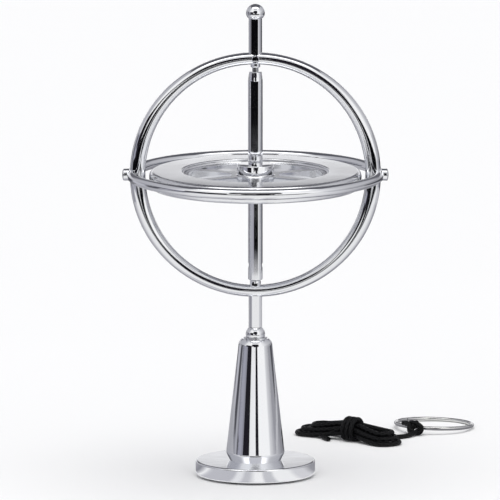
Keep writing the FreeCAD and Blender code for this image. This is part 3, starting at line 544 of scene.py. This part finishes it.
ground_steel, tree = new_material("ground_hardened_steel")
place = add_node(tree, "ShaderNodeTexCoord").outputs["Object"]
lay = add_node(tree, "ShaderNodeMapping", {"Vector": place, "Scale": (1.0, 1.0, 1 / (0.08 * MM))})
grinding = add_node(tree, "ShaderNodeTexNoise", {"Vector": lay.outputs[0], "Scale": 1.0, "Detail": 2.0})
grinding_rough = add_node(tree, "ShaderNodeMapRange", {
    "Value": grinding.outputs["Fac"], "To Min": 0.12, "To Max": 0.3})
finish_material(tree, add_node(tree, "ShaderNodeBsdfPrincipled", {
    "Base Color": linear("#c3c4c6"), "Metallic": 1.0, "Roughness": grinding_rough.outputs[0]}))
pin_radius = 0.775
upper_pin_foot = 100.1
lower_pin_top = 52.35
for name, low, high in (("upper_pivot", upper_pin_foot, 104.9), ("lower_pivot", 48.5, lower_pin_top)):
    pivot = finish_mesh(name + "_pin", turned(
        [(0, low), (pin_radius, low), (pin_radius, high), (0, high)],
        {(pin_radius, low): 0.2, (pin_radius, high): 0.2}, steps=48), ground_steel)
    keep_flats_flat(pivot)
    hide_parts(name)
    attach(pivot, "rotor")


# ---------------------------------------------------------------- axle
# Rod with a tapered upper end, cross-drilled near its foot for the end of the string.
string_hole_height = 53.55
string_hole_radius = 0.75
axle_radius = 1.82
shape = turned([(pin_radius, 49.85), (axle_radius, 49.85), (axle_radius, 100.4), (1.55, 102.6),
                (pin_radius, 102.6), (pin_radius, upper_pin_foot), (0, upper_pin_foot),
                (0, lower_pin_top), (pin_radius, lower_pin_top)],
               {(axle_radius, 49.85): 0.25, (axle_radius, 100.4): 0.3, (1.55, 102.6): 0.12}, steps=128)
axle = finish_mesh("bored_axle", shape, chrome)
drill_shape = bmesh.new()
drill_place = Matrix.Translation((0, 0, string_hole_height * MM)) @ Matrix.Rotation(math.pi / 2, 4, "Y")
bmesh.ops.create_cone(drill_shape, cap_ends=True, segments=48, radius1=string_hole_radius * MM,
                      radius2=string_hole_radius * MM, depth=6 * MM, matrix=drill_place)
drill = finish_mesh("drill", drill_shape, chrome)
boring = axle.modifiers.new("string_hole", "BOOLEAN")
boring.operation = "DIFFERENCE"
boring.solver = "EXACT"
boring.object = drill
bpy.context.view_layer.update()
bored = bpy.data.meshes.new_from_object(axle.evaluated_get(bpy.context.evaluated_depsgraph_get()))
axle.modifiers.clear()
axle.data = bored
bored.set_sharp_from_angle(angle=math.radians(40))
bpy.data.objects.remove(drill)
keep_flats_flat(axle)
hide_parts("axle")
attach(axle, "rotor")


# ---------------------------------------------------------------- rotor
# Heavy rim and raised hub, turned from one casting; six straight spokes between windows are left
# as cast under the plating, so their faces are a little softer.
satin_chrome = softer_chrome("satin_chrome_on_turned_zinc", 0.14, 0.2)
rotor_low = ring_height - 3.35
rim = turned(arc_points((17.8, 0.55), 0.6, 90.0, 0.0, 6)
             + [(18.4, 0.0), (26.6, 0.1), (26.6, 4.35), (18.4, 4.45)]
             + arc_points((17.8, 3.95), 0.6, 0.0, -90.0, 6),
             {(26.6, 0.1): 1.15, (26.6, 4.35): 1.15, (18.4, 0.0): 0.35, (18.4, 4.45): 0.35}, steps=256)
bmesh.ops.translate(rim, verts=rim.verts, vec=(0, 0, rotor_low * MM))
rotor_rim = finish_mesh("rotor_rim", rim, satin_chrome)
keep_flats_flat(rotor_rim)
hub = turned([(axle_radius, -1.6), (4.55, -1.6)] + arc_points((4.9, 0.8), 0.35, 180.0, 90.0, 5)
             + arc_points((4.9, 3.7), 0.35, 270.0, 180.0, 5) + [(4.55, 6.05), (axle_radius, 6.05)],
             {(4.55, -1.6): 0.3, (4.55, 6.05): 0.25}, steps=128)
bmesh.ops.translate(hub, verts=hub.verts, vec=(0, 0, rotor_low * MM))
rotor_hub = finish_mesh("rotor_hub", hub, chrome)
keep_flats_flat(rotor_hub)

web = bmesh.new()
web_thickness = 2.2
web_level = Vector((0, 0, rotor_low + 1.15)) * MM
window_count = 6
spoke_half_width = 1.4
for radius, count in ((18.5, 240), (4.4, 96)):
    bmesh.ops.create_circle(web, segments=count, radius=radius * MM, matrix=Matrix.Translation(web_level))
for window in range(window_count):
    turn_about = Matrix.Rotation(math.radians(360 / window_count * window), 4, "Z")
    corners = []
    for radius, side, steps in ((6.1, -1, 10), (16.9, 1, 28)):
        half_angle = math.pi / window_count - math.asin(spoke_half_width / radius)
        for step in range(steps + 1):
            angle = side * half_angle * (2 * step / steps - 1)
            outline = Vector((radius * math.cos(angle), radius * math.sin(angle), 0)) * MM
            corners.append(web.verts.new(turn_about @ outline + web_level))
    for pair in zip(corners, corners[1:] + corners[:1]):
        web.edges.new(pair)
bmesh.ops.triangle_fill(web, use_beauty=True, use_dissolve=True, edges=web.edges[:])
raised = bmesh.ops.extrude_face_region(web, geom=web.faces[:])["geom"]
bmesh.ops.translate(web, verts=[part for part in raised if isinstance(part, bmesh.types.BMVert)],
                    vec=(0, 0, web_thickness * MM))
rotor_web = finish_mesh("rotor_web", web, softer_chrome("chrome_on_faces_as_cast", 0.28, 0.36))
rotor_web.data.materials.append(chrome)
for face in rotor_web.data.polygons:
    face.material_index = 0 if abs(face.normal.z) > 0.5 else 1
rotor_web.data.set_sharp_from_angle(angle=math.radians(40))

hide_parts("rotor_wheel")
for piece in (rotor_rim, rotor_hub, rotor_web):
    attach(piece, "rotor")


# ---------------------------------------------------------------- pull ring
# Bright plated steel wire, bent to a ring on a mandrel and cut, so its two ends just fail to meet.
plated_wire, tree = new_material("nickel_plated_wire")
place = add_node(tree, "ShaderNodeTexCoord").outputs["Object"]
draw_marks = add_node(tree, "ShaderNodeTexNoise", {"Vector": place, "Scale": 1 / (1.5 * MM), "Detail": 3.0})
wire_rough = add_node(tree, "ShaderNodeMapRange", {
    "Value": draw_marks.outputs["Fac"], "From Min": 0.3, "From Max": 0.7, "To Min": 0.08, "To Max": 0.2})
finish_material(tree, add_node(tree, "ShaderNodeBsdfPrincipled", {
    "Base Color": linear("#dcdcda"), "Metallic": 1.0, "Roughness": wire_rough.outputs[0]}))
pull_ring_middle = Vector((45.8, 66.7, 1.078))
pull_ring_radius = 9.75
wire_radius = 0.5
knot_bearing = math.radians(238)
shape = bmesh.new()
wire_end = Matrix.Translation((pull_ring_radius * MM, 0, 0)) @ Matrix.Rotation(math.pi / 2, 4, "X")
bmesh.ops.create_circle(shape, cap_ends=True, segments=24, radius=wire_radius * MM, matrix=wire_end)
bmesh.ops.spin(shape, geom=shape.verts[:] + shape.edges[:] + shape.faces[:], cent=(0, 0, 0), axis=(0, 0, 1),
               angle=math.radians(358), steps=160)
bmesh.ops.rotate(shape, verts=shape.verts, matrix=Matrix.Rotation(math.radians(137), 3, "Z"))
bmesh.ops.rotate(shape, verts=shape.verts, matrix=Matrix.Rotation(
    math.radians(3.4), 3, Vector((math.sin(knot_bearing), -math.cos(knot_bearing), 0))))
bmesh.ops.translate(shape, verts=shape.verts, vec=pull_ring_middle * MM)
pull_ring = finish_mesh("bent_wire_ring", shape, plated_wire)
pull_ring.data.set_sharp_from_angle(angle=math.radians(40))
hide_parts("pull_ring")
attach(pull_ring, "pull_string")


# ---------------------------------------------------------------- knot
# Black nylon cord, braided round a core.  Its end is tied twice round the wire and once round
# itself, and cut off short.
cord_black, tree = new_material("braided_black_nylon")
cord_diameter = 1.2
braid_pitch = 1.6      # the real braid is finer; this is as coarse as it must be to show
along_cord = add_node(tree, "ShaderNodeUVMap", uv_map="UVMap").outputs[0]
strand_heights = []
for lean in (1, -1):
    slanted = add_node(tree, "ShaderNodeMapping", {
        "Vector": along_cord, "Scale": (1 / braid_pitch, lean * 4.0, 1.0)})
    parts = add_node(tree, "ShaderNodeSeparateXYZ", {0: slanted.outputs[0]})
    total = add_node(tree, "ShaderNodeMath", {0: parts.outputs["X"], 1: parts.outputs["Y"]}, operation="ADD")
    in_turns = add_node(tree, "ShaderNodeMath", {0: total.outputs[0], 1: 2 * math.pi}, operation="MULTIPLY")
    wave = add_node(tree, "ShaderNodeMath", {0: in_turns.outputs[0]}, operation="SINE")
    strand_heights.append(wave.outputs[0])
braid = add_node(tree, "ShaderNodeMath", {0: strand_heights[0], 1: strand_heights[1]}, operation="MAXIMUM")
place = add_node(tree, "ShaderNodeTexCoord").outputs["Object"]
fuzz = add_node(tree, "ShaderNodeTexNoise", {"Vector": place, "Scale": 1 / (0.25 * MM), "Detail": 3.0})
fuzzy_braid = add_node(tree, "ShaderNodeMath", {
    0: fuzz.outputs["Fac"], 1: 0.7, 2: braid.outputs[0]}, operation="MULTIPLY_ADD")
# The cord's colour is darker where the braid's height is low: painted shade between the strands, with random
# tone from the fuzz.
braid_shade_and_fuzz_tone = ramp(tree, add_node(tree, "ShaderNodeMapRange", {
    "Value": fuzzy_braid.outputs[0], "From Min": -0.2, "From Max": 1.5}).outputs[0],
    [(0.0, "#020203"), (0.6, "#08080a"), (1.0, "#161618")])
braid_bump = add_node(tree, "ShaderNodeBump", {
    "Height": fuzzy_braid.outputs[0], "Strength": 0.7, "Distance": 0.1 * MM})
finish_material(tree, add_node(tree, "ShaderNodeBsdfPrincipled", {
    "Base Color": braid_shade_and_fuzz_tone.outputs[0], "Roughness": 0.5, "Specular IOR Level": 0.2,
    "Normal": braid_bump.outputs["Normal"]}))


def laid_cord(name, route):
    """A cord along a smooth line through a route in millimetres; gives the piece and its middle line.

    The tube's UV map runs in millimetres along the cord, and once round it.
    """
    line = bpy.data.curves.new(name, "CURVE")
    line.dimensions = "3D"
    line.resolution_u = 8
    line.bevel_depth = cord_diameter / 2 * MM
    line.bevel_resolution = 4
    line.use_fill_caps = True
    spline = line.splines.new("NURBS")
    spline.points.add(len(route) - 1)
    for spot, point in zip(spline.points, route):
        spot.co = (*(Vector(point) * MM), 1.0)
    spline.order_u = 3
    spline.use_endpoint_u = True
    lead = bpy.data.objects.new(name + "_line", line)
    bpy.context.collection.objects.link(lead)
    bpy.context.view_layer.update()
    tube = bpy.data.meshes.new_from_object(lead.evaluated_get(bpy.context.evaluated_depsgraph_get()))
    bpy.data.objects.remove(lead)

    sides = 2 * (line.bevel_resolution + 2)
    corners = [vert.co for vert in tube.vertices][sides:-sides]
    middle = [sum(corners[at:at + sides], Vector()) / sides for at in range(0, len(corners), sides)]
    run = [0.0]
    for before, after in zip(middle, middle[1:]):
        run.append(run[-1] + (after - before).length / MM)
    for loop in tube.uv_layers["UVMap"].data:
        loop.uv.x = run[round(loop.uv.x * (len(middle) - 1))]
    for face in tube.polygons:
        face.use_smooth = len(face.vertices) == 4
    tube.materials.clear()
    tube.materials.append(cord_black)
    piece = bpy.data.objects.new(name, tube)
    bpy.context.collection.objects.link(piece)
    return piece, middle


wire_at_knot = Vector((40.63, 58.43, 0.0))
toward_lead = Vector((0.174, -0.985, 0.0))
to_the_side = Vector((0.985, 0.174, 0.0))
knot, _ = laid_cord("tied_knot", [
    wire_at_knot + toward_lead * outward + to_the_side * sideways + Vector((0, 0, height))
    for outward, sideways, height in (
        (3.2, 0.15, 1.1), (2.0, 0.4, 1.0), (0.9, 0.9, 0.7), (-0.8, 1.0, 0.62), (-1.5, 0.9, 1.7),
        (-0.8, 0.8, 2.8), (0.6, 0.3, 2.9), (1.6, -0.5, 2.1), (1.2, -1.1, 0.8), (-0.4, -1.2, 0.62),
        (-1.5, -1.1, 1.6), (-0.8, -0.9, 2.8), (0.8, -0.4, 3.0), (2.1, 0.6, 2.8), (3.3, 1.5, 2.1),
        (3.4, 0.9, 0.65), (2.9, -0.9, 0.65), (2.2, -1.6, 1.7), (0.9, -1.5, 2.7), (-0.8, -2.0, 2.75),
        (-2.0, -2.5, 2.5))])
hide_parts("string_knot")
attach(knot, "pull_string")


# ---------------------------------------------------------------- pull string
# The same cord, folded back and forth into a bundle that is bound three times round its middle.
# Its free end sticks out of the bundle.
bundle_middle = Vector((24.48, 49.5, 0.0))
bundle_turn = Matrix.Rotation(math.radians(-37.3), 3, "Z")


def in_bundle(along, across, height):
    """A point of the bundle, from its middle, in millimetres."""
    return bundle_middle + bundle_turn @ Vector((along, across, height))


route = [
    (41.3, 55.5, 1.1), (39.5, 52.5, 0.6), (36.7, 50.2, 0.6), (33.6, 50.1, 0.6),
    (31.0, 51.0, 0.6), (28.75, 50.7, 0.6)]

# Bindings: under the bundle from its far side, then three turns over it, each beside the last.
binding_section = [
    (2.3, 0.6), (-2.3, 0.6), (-3.1, 1.5), (-3.05, 3.3), (-1.9, 4.9), (-0.7, 5.45),
    (0.7, 5.45), (1.9, 4.9), (3.05, 3.3), (3.1, 1.5)]
binding_pitch = 1.3
for binding in range(3):
    for step, (across, height) in enumerate(binding_section):
        along = 2.4 - binding_pitch * (binding + step / len(binding_section))
        route.append(in_bundle(along, across, height))
route.append(in_bundle(-1.5, 2.3, 0.6))

# Folds: each is a long narrow loop through the bindings that opens to a rounder lobe at each end.
folds = (
    # strand offset, lobe half width, left reach, right reach, height at the ends, height inside
    (0.6, 2.0, 12.0, 11.0, 0.6, 1.8),
    (1.8, 3.9, 16.3, 14.3, 0.6, 1.8),
    (0.6, 2.2, 12.9, 11.8, 1.8, 3.0),
    (1.8, 3.2, 14.6, 13.4, 1.8, 3.0),
    (0.6, 2.4, 11.4, 12.4, 3.0, 4.2),
)
for strand, lobe, left, right, low, inside in folds:
    for side, reach in ((-1, left), (1, right)):
        narrow = 0.5 * strand + 0.5 * lobe
        outbound = [
            (2.6, strand, inside),
            (5.6, narrow, (low + inside) / 2),
            (reach - lobe, lobe, low),
            (reach - 0.586 * lobe, lobe, low),
            (reach, 0.414 * lobe, low),
        ]
        route += [in_bundle(side * along, side * across, height)
                  for along, across, height in outbound]
        route += [in_bundle(side * along, -side * across, height)
                  for along, across, height in reversed(outbound)]
route += [in_bundle(-2.6, -1.9, 3.0), in_bundle(-4.6, -2.4, 1.6),
          (16.97, 51.2, 0.6), (17.72, 48.9, 0.6), (18.7, 46.9, 0.6)]
string, string_middle = laid_cord("folded_string", route)
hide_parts("string_lead", "string_hank", "string_tail")
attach(string, "pull_string")
